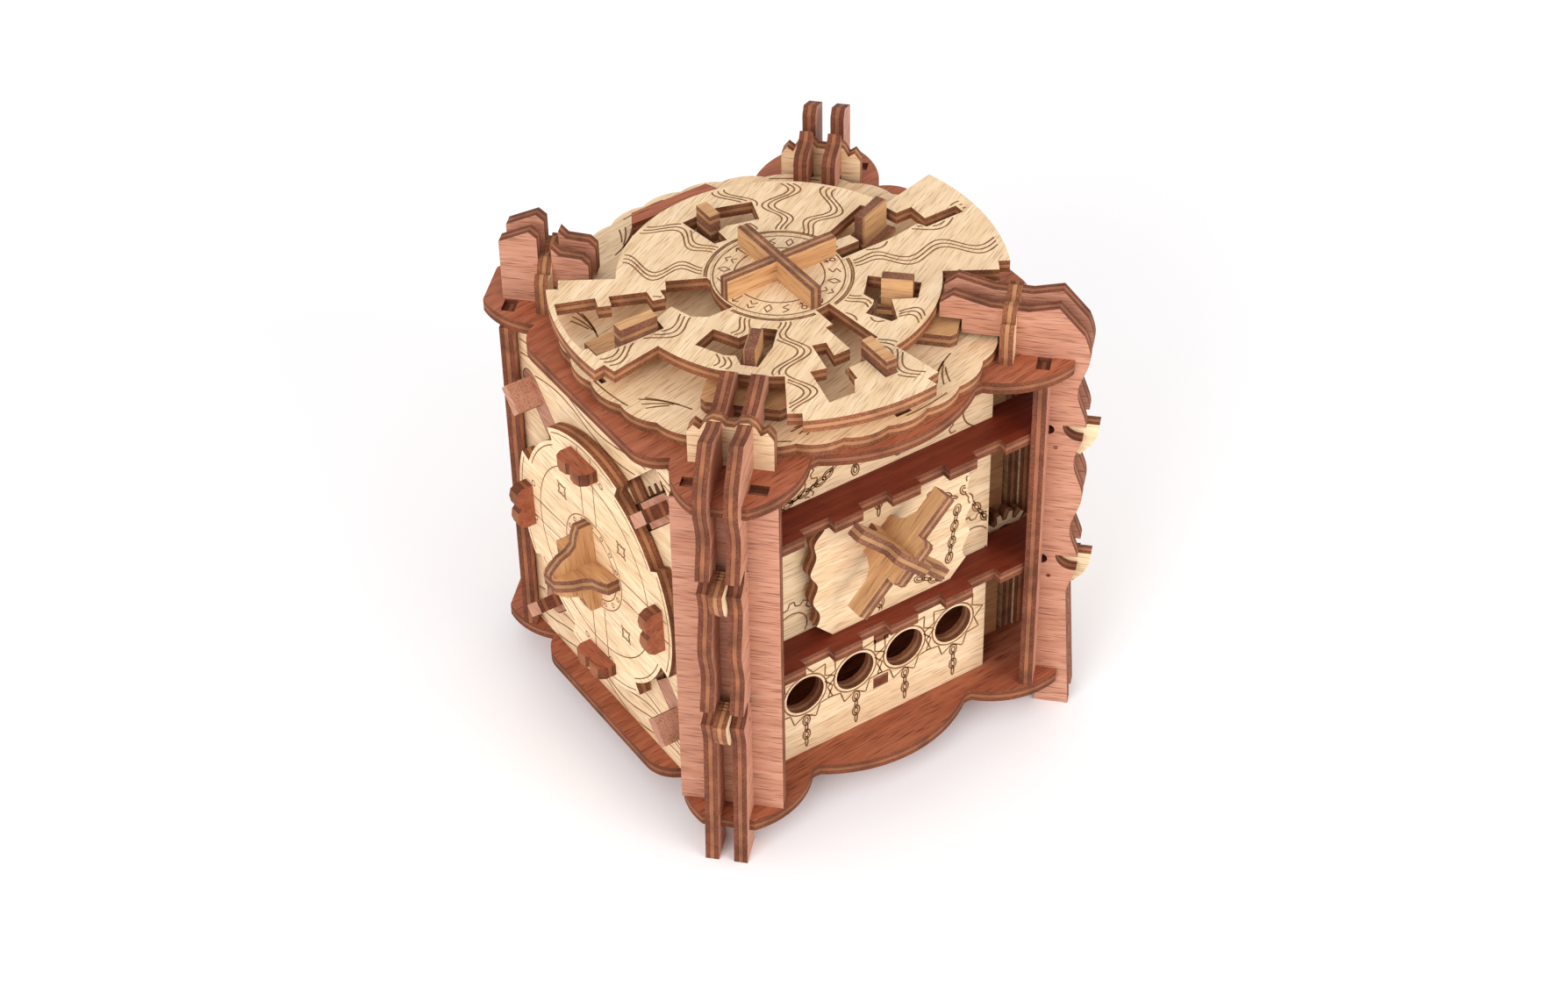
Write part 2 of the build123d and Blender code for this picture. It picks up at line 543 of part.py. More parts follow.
def cross_slat(deg, lap0, lap1, depth, tenon):
    """One of two crossed slats of the front knob, arms clear of the shield."""
    a = radians(deg)
    along = Vector(cos(a), 0, sin(a))
    across = Vector(-sin(a), 0, cos(a))
    start = Vector(KNOB_X, -SHIELD_Y - PLY, KNOB_Z) - across * (PLY / 2)
    plane = Plane(origin=start, x_dir=along, z_dir=across)
    sign = -1 if plane.y_dir.Y > 0 else 1
    half = [(6.5, 0), (7, 2.4), (8.8, 5.2), (12, ARM_H), (21, ARM_H), (21, ARM_H + depth)]
    half += [(7.5, ARM_H + depth), (7.5, 15.5), (6.5, 16.5)]
    outline = half + [(-t, h) for t, h in reversed(half)]
    body = prism([(t, sign * h) for t, h in outline], PLY, plane)
    if tenon:
        peg_points = [(-2, 0), (2, 0), (2, -PLY), (-2, -PLY)]
        body += prism([(t, sign * h) for t, h in peg_points], PLY, plane)
    lap = [(-2, lap0), (2, lap0), (2, lap1), (-2, lap1)]
    return body - prism([(t, sign * h) for t, h in lap], PLY, plane)


PARTS["cross_slat_p"] = cross_slat(45, 8.5, 18, 5.6, True)
PARTS["cross_slat_q"] = cross_slat(-45, -1, 8.5, 4.4, False)


# ---- export, moved so that the origin is under the middle of the overall box ----
solids = {name: shape.solids() for name, shape in PARTS.items()}
reach = Compound([solid for group in solids.values() for solid in group]).bounding_box()
middle = Pos(-reach.center().X, -reach.center().Y, 0)
os.makedirs("parts", exist_ok=True)
for name, group in solids.items():
    export_step(Compound([middle * solid for solid in group]), "parts/" + name + ".step")
print("moved by", middle.position)
print(len(PARTS), "parts")
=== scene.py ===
# %% [markdown]
# # A laser-cut puzzle box, finished in Blender
# The box is a stack of 4 mm plywood sheets: pale ones for the walls and discs, red-brown ones
# for the plates, corner boards and fins. The shapes, sizes and joints are already settled in the
# frame that is loaded here, so this lesson is about two things only: making flat sheets look
# like cut plywood, and drawing the lines that a laser has scorched into them.

# %% Load the frame
import math
import bpy
import numpy as np
from mathutils import Matrix, Vector


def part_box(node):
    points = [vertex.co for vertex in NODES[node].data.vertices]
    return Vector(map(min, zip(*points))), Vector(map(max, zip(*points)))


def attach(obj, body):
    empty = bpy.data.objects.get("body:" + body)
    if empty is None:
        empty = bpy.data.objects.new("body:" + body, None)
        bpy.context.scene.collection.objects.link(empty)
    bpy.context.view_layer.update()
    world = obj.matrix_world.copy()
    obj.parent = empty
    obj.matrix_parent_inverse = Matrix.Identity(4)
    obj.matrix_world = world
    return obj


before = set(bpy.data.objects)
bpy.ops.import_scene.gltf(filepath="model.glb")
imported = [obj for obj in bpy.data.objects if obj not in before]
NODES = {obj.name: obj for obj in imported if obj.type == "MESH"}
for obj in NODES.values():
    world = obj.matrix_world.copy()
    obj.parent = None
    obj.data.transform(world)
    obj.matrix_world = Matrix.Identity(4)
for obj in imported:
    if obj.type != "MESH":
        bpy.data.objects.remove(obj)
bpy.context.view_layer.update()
MM = 0.001

# %% [markdown]
# Everything is placed from the frame. The sun disc's axis is the middle of the hub disc, the
# dial's centre is the middle of its pinion, and each engraved face is a side of a node's box.

# %% Places that the rest is measured from
def middle(node):
    """The middle of a node's box: half the sum of its lowest and highest corners."""
    low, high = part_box(node)
    return (low + high) / 2


AXIS = middle("hub_disc")
DIAL = middle("dial_pinion")
print("sun axis", [round(c / MM, 1) for c in AXIS], "dial centre", [round(c / MM, 1) for c in DIAL])

# %% [markdown]
# ## Plywood
# A sheet of craft ply is three veneers glued together. On its face the grain shows as soft
# bands with short dark pores; on a laser-cut edge the veneers show as layers, browned by the
# heat. Painting this by hand on sixty pieces would be slow, so one recipe reads two directions
# for each piece: the way its sheet faces, and the way its grain runs. The sheet's direction can
# be measured, because most of a flat piece's surface faces one way.

# %% Find the way a sheet faces
def sheet_of(node):
    """(normal, height of the face, thickness): the normal with the largest summed area, the
    greatest reach of its faces along it, and the smaller of one sheet and the piece's extent."""
    mesh = NODES[node].data
    count = len(mesh.polygons)
    area = np.empty(count)
    mesh.polygons.foreach_get("area", area)
    normals = np.empty(count * 3)
    mesh.polygons.foreach_get("normal", normals)
    normals = normals.reshape(-1, 3)
    _, which = np.unique(np.round(normals, 2), axis=0, return_inverse=True)
    best = np.bincount(which.ravel(), area).argmax()
    normal = normals[which.ravel() == best].mean(axis=0)
    normal /= np.linalg.norm(normal)
    points = np.empty(len(mesh.vertices) * 3)
    mesh.vertices.foreach_get("co", points)
    reach = points.reshape(-1, 3) @ normal
    corners = np.empty(len(mesh.loops), int)
    mesh.loops.foreach_get("vertex_index", corners)
    on_face = corners.reshape(-1, 3)[which.ravel() == best].ravel()
    return Vector(normal), float(reach[on_face].max()), min(4 * MM, float(np.ptp(reach)))


print("front panel faces", [round(c, 2) for c in sheet_of("front_panel")[0]])

# %% [markdown]
# Grain is cut across the box wherever a sheet stands upright, so its pores lie level. Sheets
# that lie flat have their own angle, and the crossed slats of the knobs run along their length.

# %% Choose the way the grain runs
FLAT_GRAIN = {"sun_disc": 28, "hub_disc": 28, "scallop_disc": 14, "base_plate": 4, "top_plate": 8}


def grain_of(node, normal):
    """A unit vector in the sheet: at a chosen angle when flat, along a knob's slat, or level."""
    if node.startswith("cross_slat"):
        return normal.cross(Vector((0, 1, 0))).normalized()
    if node.startswith("dial_slat"):
        return normal.cross(Vector((1, 0, 0))).normalized()
    if abs(normal.z) > 0.9:
        angle = math.radians(FLAT_GRAIN.get(node, 0))
        return Vector((math.cos(angle), math.sin(angle), 0))
    return normal.cross(Vector((0, 0, 1))).normalized()


panel_grain = grain_of("front_panel", sheet_of("front_panel")[0])
print("the front panel's grain runs", [round(c, 2) for c in panel_grain])


# %% [markdown]
# Colours are picked as they would be on a screen and turned into the linear values that the
# shader wants. A finish is a light and a dark tone of the face, its pores, and the three tones
# of a cut edge: outer veneer, core veneer and glue line.

# %% Colours and finishes
def tone(red, green, blue):
    """Screen values 0 to 255 to linear: ((v + 0.055) / 1.055) to the power 2.4, the sRGB rule."""
    value = np.array([red, green, blue]) / 255
    linear = np.where(value > 0.04045, ((value + 0.055) / 1.055) ** 2.4, value / 12.92)
    return (*[float(c) for c in linear], 1.0)


FINISH = {
    "pale": {
        "light": tone(247, 220, 183), "dark": tone(230, 195, 152), "pore": tone(160, 112, 74),
        "veneer": tone(132, 76, 50), "core": tone(182, 128, 88), "glue": tone(70, 34, 22),
        "rough": 0.58, "marked": 0.6,
    },
    # slat: the warmer, darker tone of slats and pegs; on the slats inside the box it is also painted
    # shade
    "slat": {
        "light": tone(218, 172, 122), "dark": tone(190, 138, 92), "pore": tone(120, 76, 46),
        "veneer": tone(120, 74, 58), "core": tone(178, 130, 90), "glue": tone(72, 40, 30),
        "rough": 0.56, "marked": 0.55,
    },
    "red": {
        "light": tone(184, 112, 80), "dark": tone(156, 84, 57), "pore": tone(94, 42, 28),
        "veneer": tone(114, 60, 38), "core": tone(150, 94, 64), "glue": tone(58, 28, 16),
        "rough": 0.5, "marked": 0.75,
    },
    "deep": {
        "light": tone(130, 54, 32), "dark": tone(104, 38, 22), "pore": tone(70, 24, 14),
        "veneer": tone(114, 62, 40), "core": tone(150, 96, 68), "glue": tone(58, 28, 16),
        "rough": 0.46, "marked": 0.5,
    },
    # rose: the red sheet painted lighter, a painted sheen for upright sheets whose grain catches the
    # light
    "rose": {
        "light": tone(204, 150, 124), "dark": tone(182, 124, 98), "pore": tone(124, 72, 54),
        "veneer": tone(112, 60, 42), "core": tone(158, 100, 70), "glue": tone(56, 28, 18),
        "rough": 0.55, "marked": 0.7,
    },
}
print("finishes:", ", ".join(FINISH))

# %% [markdown]
# A material is a small tree of nodes. Writing each node out takes many lines, so one helper adds
# a node, sets its options, and either links a socket or fills in a value.

# %% A helper for shader nodes
def add(tree, kind, inputs, **options):
    """Adds a node: options are its settings, inputs are sockets to link or values to fill in."""
    made = tree.nodes.new("ShaderNode" + kind)
    for key, value in options.items():
        setattr(made, key, value)
    for key, value in inputs.items():
        if isinstance(value, bpy.types.NodeSocket):
            tree.links.new(value, made.inputs[key])
        else:
            made.inputs[key].default_value = value
    return made


def blend_colour(tree, amount, first, second):
    """The colour between two, by an amount from 0 to 1."""
    inputs = {0: amount, 6: first, 7: second}
    return add(tree, "Mix", inputs, data_type="RGBA").outputs[2]


def limits(tree, value, low, high, out_low=0.0, out_high=1.0):
    """A value carried from one range to another and held at its ends."""
    inputs = {0: value, 1: low, 2: high, 3: out_low, 4: out_high}
    return add(tree, "MapRange", inputs, clamp=True).outputs[0]


print("helpers for node trees:", add.__name__, blend_colour.__name__, limits.__name__)


# %% [markdown]
# The coordinates of the grain are three distances: along it, across it and down through the
# sheet. Noise that is stretched along the grain gives bands when it is coarse, and pores when it
# is fine and only its peaks are kept.

# %% Grain coordinates and stretched noise
def sheet_space(tree, grain, normal, seed):
    """Object coordinates turned to (along, across, depth): a dot product with each direction."""
    place = add(tree, "TexCoord", {}).outputs["Object"]
    across = normal.cross(grain)
    parts = [add(tree, "VectorMath", {0: place, 1: tuple(way)}, operation="DOT_PRODUCT").outputs["Value"]
             for way in (grain, across, normal)]
    joined = add(tree, "CombineXYZ", {0: parts[0], 1: parts[1], 2: parts[2]}).outputs[0]
    shift = (seed * 0.37, seed * 0.11, seed * 0.05)
    moved = add(tree, "VectorMath", {0: joined, 1: shift}, operation="ADD").outputs["Vector"]
    return place, parts[2], moved


def stretched(tree, space, along, across, detail):
    """Noise with its cells 1/along metres long and 1/across metres wide."""
    scaled = add(tree, "VectorMath", {0: space, 1: (along, across, across)}, operation="MULTIPLY")
    inputs = {"Vector": scaled.outputs["Vector"], "Scale": 1.0, "Detail": detail, "Roughness": 0.55}
    return add(tree, "TexNoise", inputs).outputs[0]


PORE = {"along": 130, "across": 2700}
print("a pore is about %.1f mm long and %.2f mm wide" % tuple(1 / (PORE[k] * MM) for k in PORE))


# %% [markdown]
# The face is soft bands, finer streaks and the pores, laid over one another from pale to dark.
# Three noises cost little, and each can be tuned alone until the wood looks right.

# %% Colour of the face
def face_colour(tree, space, look):
    """(colour, pores): light and dark bands mixed, then darkened where the pores are."""
    bands = limits(tree, stretched(tree, space, along=24, across=330, detail=3.0), 0.32, 0.68)
    streaks = limits(tree, stretched(tree, space, along=70, across=1700, detail=2.0), 0.35, 0.7)
    pores = limits(tree, stretched(tree, space, **PORE, detail=1.5), 0.54, 0.66)
    base = blend_colour(tree, bands, look["light"], look["dark"])
    streaked = blend_colour(tree, limits(tree, streaks, 0, 1, 0, 0.35), base, look["dark"])
    amount = limits(tree, pores, 0, 1, 0, look["marked"])
    return blend_colour(tree, amount, streaked, look["pore"]), pores


print("the pale face's pores are darkened by", FINISH["pale"]["marked"])

# %% [markdown]
# The edge is a ramp down through the sheet, repeated for every sheet in a stack, with a speckle
# of fibre ends and patches that the laser burned darker. A ramp is exact about where the layers
# lie, which noise could never be.

# %% Colour of the cut edge
LAYERS = [(0.0, "veneer"), (0.29, "veneer"), (0.33, "glue"), (0.37, "core"),
          (0.63, "core"), (0.67, "glue"), (0.71, "veneer"), (1.0, "veneer")]


def edge_colour(tree, place, depth, look, top, thick):
    """Veneer, glue, core, glue, veneer by the depth below the face as a share of one sheet."""
    below = add(tree, "Math", {0: top, 1: depth}, operation="SUBTRACT").outputs[0]
    sheets = add(tree, "Math", {0: below, 1: thick}, operation="DIVIDE").outputs[0]
    share = add(tree, "Math", {0: sheets}, operation="FRACT").outputs[0]
    ramp = add(tree, "ValToRGB", {0: share})
    stops = ramp.color_ramp
    stops.interpolation = "LINEAR"
    for position, kind in LAYERS[1:-1]:
        stops.elements.new(position).color = look[kind]
    stops.elements[0].color = look["veneer"]
    stops.elements[-1].color = look["veneer"]
    inputs = {"Vector": place, "Scale": 1900.0, "Detail": 2.0}
    fibres = limits(tree, add(tree, "TexNoise", inputs).outputs[0], 0.42, 0.66, 0.0, 0.42)
    speckled = blend_colour(tree, fibres, ramp.outputs[0], look["core"])
    inputs = {"Vector": place, "Scale": 130.0, "Detail": 2.0}
    burn = limits(tree, add(tree, "TexNoise", inputs).outputs[0], 0.4, 0.7, 0.0, 0.5)
    return blend_colour(tree, burn, speckled, look["glue"])


print("layers of an edge, top to bottom:", [kind for _, kind in LAYERS])

# %% [markdown]
# The object's own normal tells face from edge: where the surface points along the sheet's normal
# it is a face, and elsewhere it is a cut. Two kinds of piece need more than one direction. A
# pull slider is a flat rail with a grip glued across it, so both of their directions count as
# faces. The four lobed tabs of the dial face outward from its centre, so theirs is worked out
# from the place of each point.

# %% Tell faces from cut edges
EDGE_BELOW = 0.75
FACE_ABOVE = 0.9


def squarely(tree, *ways):
    """1 where the object's normal lies along any of the ways, 0 where it is square to all: the
    largest of the cosines, carried from the edge's limit to the face's."""
    facing = add(tree, "TexCoord", {}).outputs["Normal"]
    most = None
    for way in ways:
        direction = way(tree) if callable(way) else way
        dot = add(tree, "VectorMath", {0: facing, 1: direction}, operation="DOT_PRODUCT")
        size = add(tree, "Math", {0: dot.outputs["Value"]}, operation="ABSOLUTE").outputs[0]
        if most is None:
            most = size
        else:
            most = add(tree, "Math", {0: most, 1: size}, operation="MAXIMUM").outputs[0]
    return limits(tree, most, EDGE_BELOW, FACE_ABOVE)


def from_dial(tree):
    """The direction away from the dial's axis: the point less the centre, without its x."""
    place = add(tree, "TexCoord", {}).outputs["Object"]
    away = add(tree, "VectorMath", {0: place, 1: tuple(DIAL)}, operation="SUBTRACT").outputs["Vector"]
    flat = add(tree, "VectorMath", {0: away, 1: (0, 1, 1)}, operation="MULTIPLY").outputs["Vector"]
    return add(tree, "VectorMath", {0: flat}, operation="NORMALIZE").outputs["Vector"]


HALF = math.sqrt(0.5)
MORE_WAYS = {
    "dial_tabs": [from_dial],
    "slider_ur": [(1, 0, 0), (0, HALF, HALF)], "slider_ll": [(1, 0, 0), (0, HALF, HALF)],
    "slider_ul": [(1, 0, 0), (0, HALF, -HALF)], "slider_lr": [(1, 0, 0), (0, HALF, -HALF)],
}
print("pieces with more than one face direction:", len(MORE_WAYS))

# %% [markdown]
# Both go into one shader. Bare ply has a dull satin face and a matt edge, so the roughness
# follows the same mask, and the pores press into the face by about a tenth of a millimetre.

# %% The plywood material
EDGE_ROUGH = 0.82
PORE_DEPTH = 0.12 * MM
DULLED = 0.22


def ply(name, look, normal, grain, top, thick, seed, ways=None):
    """Face and edge joined by how squarely the surface faces along the sheet's normal."""
    material = bpy.data.materials.new("ply_" + name)
    material.use_nodes = True
    tree = material.node_tree
    tree.nodes.clear()
    place, depth, space = sheet_space(tree, grain, normal, seed)
    is_face = squarely(tree, *(ways or [tuple(normal)]))
    face, pores = face_colour(tree, space, look)
    edge = edge_colour(tree, place, depth, look, top, thick)
    colour = blend_colour(tree, is_face, edge, face)
    rough = limits(tree, is_face, 0, 1, EDGE_ROUGH, look["rough"])
    fibre = stretched(tree, space, along=200, across=3000, detail=2.0)
    height = add(tree, "Math", {0: fibre, 1: pores}, operation="SUBTRACT").outputs[0]
    bump = add(tree, "Bump", {"Strength": 0.35, "Distance": PORE_DEPTH, "Height": height})
    inputs = {"Base Color": colour, "Roughness": rough, "Normal": bump.outputs[0]}
    shader = add(tree, "BsdfPrincipled", inputs)
    shader.inputs["Specular IOR Level"].default_value = DULLED
    add(tree, "OutputMaterial", {0: shader.outputs[0]})
    return material


print("pores are", round(PORE_DEPTH / MM, 2), "mm deep")

# %% [markdown]
# Which sheet is which: the plates and ledges are the deepest red, and the upright boards and fins
# are painted rosier, a painted sheen for the way their grain catches the light. The small slats and
# pegs, inside and out of the discs, are a warmer yellow than the discs, and the slats inside the box
# take the same darker finish, partly for their browner wood and partly as painted shade for the dim
# inside. Each piece gets its own seed, so that no two show the same grain, and a slight change of
# tone, as sheets from a pile have.

# %% Give every CAD piece its plywood
def finish_of(node):
    """The finish by the kind of piece that a node's name says."""
    # Boards, fins and sliders take the rose finish: the red sheet with a painted sheen, for light caught
    # by upright grain.
    if node.startswith(("board_", "fin_", "slider_")):
        return "rose"
    if node.startswith("ledge_"):
        return "deep"
    if node.startswith(("base_", "top_plate", "back_bar", "dial_tabs", "latch_pins")):
        return "red"
    # The slats inside the box (slat_) get this darker finish partly for their browner wood and partly as
    # painted shade for the dim inside.
    if node.startswith(("peg_", "hub_slat", "cross_", "dial_slat", "bolt_", "slat_")):
        return "slat"
    return "pale"


chance = np.random.default_rng(41)
for number, node in enumerate(sorted(NODES)):
    normal, top, thick = sheet_of(node)
    shade = float(chance.uniform(0.93, 1.03))
    look = dict(FINISH[finish_of(node)])
    for key in ("light", "dark"):
        look[key] = tuple(c * shade for c in look[key][:3]) + (1.0,)
    material = ply(node, look, normal, grain_of(node, normal), top, thick, number + 1,
                   MORE_WAYS.get(node))
    NODES[node].data.materials.clear()
    NODES[node].data.materials.append(material)
print("plywood on", len(NODES), "pieces")

# %% [markdown]
# ## Scorched lines
# The decoration is burned with the laser at low power: a dark line about half a millimetre wide,
# level with the face. Drawn as a picture it would blur up close, so each line is a thin strip
# of mesh, sunk into the sheet with its top a few hundredths proud. A strip is a profile of four
# corners carried along a path, and all the strips of one face make one mesh.

# %% Strips along paths
LINE = 0.5
PROUD = 0.03
SUNK = 0.12


def strip(path, width=LINE):
    """(points, faces) of a strip: at each point of the path, the profile's corners stand half a
    width to each side, along the path's normal, at the sunk and the proud height. Ends are
    closed, or joined where the path comes back to its start."""
    closed = len(path) > 3 and np.allclose(path[0], path[-1], atol=1e-6)
    path = path[:-1] if closed else path
    if closed:
        ahead = np.roll(path, -1, axis=0) - np.roll(path, 1, axis=0)
    else:
        ahead = np.gradient(path, axis=0)
    ahead /= np.maximum(np.linalg.norm(ahead, axis=1, keepdims=True), 1e-9)
    side = np.column_stack([-ahead[:, 1], ahead[:, 0]]) * width / 2
    flat = np.stack([path + side, path + side, path - side, path - side], axis=1)
    heights = np.broadcast_to(np.array([-SUNK, PROUD, PROUD, -SUNK]), flat.shape[:2])
    points = np.dstack([flat, heights]).reshape(-1, 3)
    count = len(path)
    start = np.arange(count if closed else count - 1)
    after = (start + 1) % count
    turn = np.arange(4)
    faces = np.stack([4 * start[:, None] + turn, 4 * start[:, None] + (turn + 1) % 4,
                      4 * after[:, None] + (turn + 1) % 4, 4 * after[:, None] + turn], axis=2)
    faces = faces.reshape(-1, 4)
    if not closed:
        ends = np.array([[3, 2, 1, 0], [4 * count - 4, 4 * count - 3, 4 * count - 2, 4 * count - 1]])
        faces = np.vstack([faces, ends])
    return points, faces


print("a strip along two points has", len(strip(np.array([[0.0, 0.0], [1.0, 0.0]]))[1]), "faces")

# %% [markdown]
# A line must not run out over a slot or past an edge. The outline of a sheet could be redrawn
# here, but its mesh already knows it: the face of the sheet is a set of triangles, and a point
# is on it when it lies inside one of them.

# %% The face of a sheet, and what lies on it
def face_map(node, origin, right, up, out):
    """The triangles of a node's outermost face, as flat coordinates in mm from an origin."""
    mesh = NODES[node].data
    points = np.empty(len(mesh.vertices) * 3)
    mesh.vertices.foreach_get("co", points)
    points = (points.reshape(-1, 3) - np.array(origin)) / MM
    corners = np.empty(len(mesh.loops), int)
    mesh.loops.foreach_get("vertex_index", corners)
    corners = corners.reshape(-1, 3)
    reach = points @ np.array(out)
    level = np.median(reach[corners][np.ptp(reach[corners], axis=1) < 0.01].max(axis=1))
    flat = np.abs(reach[corners] - max(level, reach.max() - 0.01)).max(axis=1) < 0.02
    plane = np.column_stack([points @ np.array(right), points @ np.array(up)])
    return plane[corners[flat]]


def inside(triangles, points):
    """True where a point is on one side of all three edges of some triangle."""
    found = np.zeros(len(points), bool)
    a, b, c = triangles[:, 0], triangles[:, 1], triangles[:, 2]

    def side(p, q):
        """Sign of the cross product of the edge p to q with p to each point."""
        edge = (q - p)[:, None, :]
        reach = points[None, :, :] - p[:, None, :]
        return edge[..., 0] * reach[..., 1] - edge[..., 1] * reach[..., 0]

    s0, s1, s2 = side(a, b), side(b, c), side(c, a)
    found |= ((s0 >= -1e-6) & (s1 >= -1e-6) & (s2 >= -1e-6)).any(axis=0)
    found |= ((s0 <= 1e-6) & (s1 <= 1e-6) & (s2 <= 1e-6)).any(axis=0)
    return found


corner = np.array([[[0.0, 0.0], [1.0, 0.0], [0.0, 1.0]]])
print("inside a triangle:", inside(corner, np.array([[0.2, 0.2], [0.9, 0.9]])).tolist())

# %% [markdown]
# A path is given points at even steps, then cut into the stretches whose points, and their
# neighbours a little way to each side, all lie on the face.

# %% Keep a path on its sheet
def even(path, step=0.5):
    """The path with points at even steps: its length added up, then read off at equal parts."""
    run = np.concatenate([[0], np.cumsum(np.linalg.norm(np.diff(path, axis=0), axis=1))])
    count = max(2, int(run[-1] / step) + 1)
    at = np.linspace(0, run[-1], count)
    return np.column_stack([np.interp(at, run, path[:, k]) for k in (0, 1)])


def kept(path, triangles, margin=0.6):
    """The stretches of a path that stay on the face, with a margin on four sides."""
    around = np.array([[0, 0], [margin, 0], [-margin, 0], [0, margin], [0, -margin]])
    ok = np.all([inside(triangles, path + shift) for shift in around], axis=0)
    if ok.all():
        return [path]
    cuts = np.flatnonzero(np.diff(ok.astype(int))) + 1
    runs = zip(np.split(path, cuts), np.split(ok, cuts))
    return [run for run, good in runs if good[0] and len(run) > 2]


print("a line of 10 mm gets", len(even(np.array([[0.0, 0.0], [10.0, 0.0]]))), "points")


# %% [markdown]
# The scorched lines need a material too: dark brown where the beam lingered and toast brown
# where the beam moved fast, and quite matt.

# %% The scorched material
def scorched():
    """Dark brown with patches of a lighter brown along the lines."""
    material = bpy.data.materials.new("scorched_line")
    material.use_nodes = True
    tree = material.node_tree
    tree.nodes.clear()
    place = add(tree, "TexCoord", {}).outputs["Object"]
    noise = add(tree, "TexNoise", {"Vector": place, "Scale": 420.0, "Detail": 3.0}).outputs[0]
    amount = limits(tree, noise, 0.35, 0.65)
    colour = blend_colour(tree, amount, tone(98, 58, 28), tone(146, 98, 54))
    bump = add(tree, "Bump", {"Strength": 0.3, "Distance": 0.05 * MM, "Height": noise})
    shader = add(tree, "BsdfPrincipled", {"Base Color": colour, "Normal": bump.outputs[0]})
    shader.inputs["Roughness"].default_value = 0.85
    add(tree, "OutputMaterial", {0: shader.outputs[0]})
    return material


SCORCH = scorched()
print("material for the lines:", SCORCH.name)

# %% [markdown]
# A face is described by the right and up of its drawing and its outward direction. The three
# are right-handed, so the strips keep their outsides out. The points of a drawing are in
# millimetres from the middle of its sheet or from an axis, and the place of the face comes from
# the node's box.

# %% Draw on a face
WAYS = {
    "top": ((1, 0, 0), (0, 1, 0), (0, 0, 1)),
    "front": ((1, 0, 0), (0, 0, 1), (0, -1, 0)),
    "left": ((0, -1, 0), (0, 0, 1), (-1, 0, 0)),
    "back": ((-1, 0, 0), (0, 0, 1), (0, 1, 0)),
    "right": ((0, 1, 0), (0, 0, 1), (1, 0, 0)),
}


def draw(name, node, body, way, centre, paths, width=LINE, material=SCORCH):
    """One mesh of strips on a node's face; flat x and y go right and up from the centre, and
    the height goes outward from the node's outermost face."""
    right, up, out = (np.array(v, float) for v in WAYS[way])
    low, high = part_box(node)
    level = max(np.array(low) @ out, np.array(high) @ out)
    centre = np.array(centre)
    origin = centre + out * (level - centre @ out)
    triangles = face_map(node, origin, right, up, out)
    evened = [even(np.array(path, float)) for path in paths]
    pieces = [strip(run, width) for path in evened for run in kept(path, triangles)]
    starts = np.concatenate([[0], np.cumsum([len(points) for points, _ in pieces])])
    points = np.vstack([points for points, _ in pieces]) * MM
    faces = np.vstack([face + start for (_, face), start in zip(pieces, starts)])
    world = origin + points[:, :1] * right + points[:, 1:2] * up + points[:, 2:] * out
    mesh = bpy.data.meshes.new(name)
    mesh.from_pydata(world.tolist(), [], faces.tolist())
    mesh.materials.append(material)
    piece = bpy.data.objects.new(name, mesh)
    bpy.context.scene.collection.objects.link(piece)
    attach(piece, body)
    print(name, "-", len(pieces), "lines,", len(faces), "faces")
    return piece


print("faces that can be drawn on:", ", ".join(WAYS))


# %% [markdown]
# Most of the drawing is built from a few motifs. Circles, gears and spiked rings are all the
# same thing: a radius that stays, steps or swings as the angle goes round.

# %% Circles, gears and stars
def circle(x, y, radius, start=0.0, end=360.0):
    """Points at equal angles on a circle: x + r cos a, y + r sin a."""
    angle = np.radians(np.linspace(start, end, max(9, int(radius * 8))))
    return np.column_stack([x + radius * np.cos(angle), y + radius * np.sin(angle)])


def gear(x, y, radius, teeth, depth=1.7):
    """A closed outline whose radius steps between root and tip, four corners to a tooth."""
    step = 2 * math.pi / teeth
    angle = (np.arange(teeth)[:, None] * step + step * np.array([-0.3, -0.17, 0.17, 0.3])).ravel()
    reach = np.tile([radius - depth, radius, radius, radius - depth], teeth)
    points = np.column_stack([x + reach * np.cos(angle), y + reach * np.sin(angle)])
    return np.vstack([points, points[:1]])


def spikes(x, y, inner, outer, count):
    """A star: points at equal angles, their radius going in and out in turn."""
    angle = np.radians(np.arange(2 * count + 1) * 180 / count + 90)
    reach = np.where(np.arange(2 * count + 1) % 2 == 0, outer, inner)
    return np.column_stack([x + reach * np.cos(angle), y + reach * np.sin(angle)])


print("a gear of 12 teeth has", len(gear(0, 0, 10, 12)), "points")

# %% [markdown]
# The chains are links drawn from the side: every other one is seen flat, as an oval with a hole,
# and the ones between are on edge.

# %% Chains
PITCH = 0.72
FLAT_HALF = 1.3
EDGE_HALF = 0.45
HOLE_HALF = (1.15, 0.6)


def chain(start, end, link=4.0):
    """Links along a straight line, a pitch of their length apart: flat ovals with a hole, and
    narrow ones on edge between them. The halves are half widths in mm."""
    start, end = np.array(start, float), np.array(end, float)
    ahead = end - start
    length = np.linalg.norm(ahead)
    ahead /= length
    side = np.array([-ahead[1], ahead[0]])
    angle = np.linspace(0, 2 * math.pi, 17)
    paths = []
    for number in range(int(length / (link * PITCH))):
        heart = start + ahead * link * (0.5 + PITCH * number)
        flat = number % 2 == 0
        oval = heart + np.outer(np.cos(angle) * link / 2, ahead)
        paths.append(oval + np.outer(np.sin(angle) * (FLAT_HALF if flat else EDGE_HALF), side))
        if flat:
            hole = heart + np.outer(np.cos(angle) * HOLE_HALF[0], ahead)
            paths.append(hole + np.outer(np.sin(angle) * HOLE_HALF[1], side))
    return paths


print("a chain of 20 mm has", len(chain((0, 0), (20, 0))), "ovals")

# %% [markdown]
# ## The sun disc
# Thirteen rays run out from the hub between the slots. Each ray is three lines side by side
# that sway together, like hair in water: one wave, drawn three times with a step to the side.

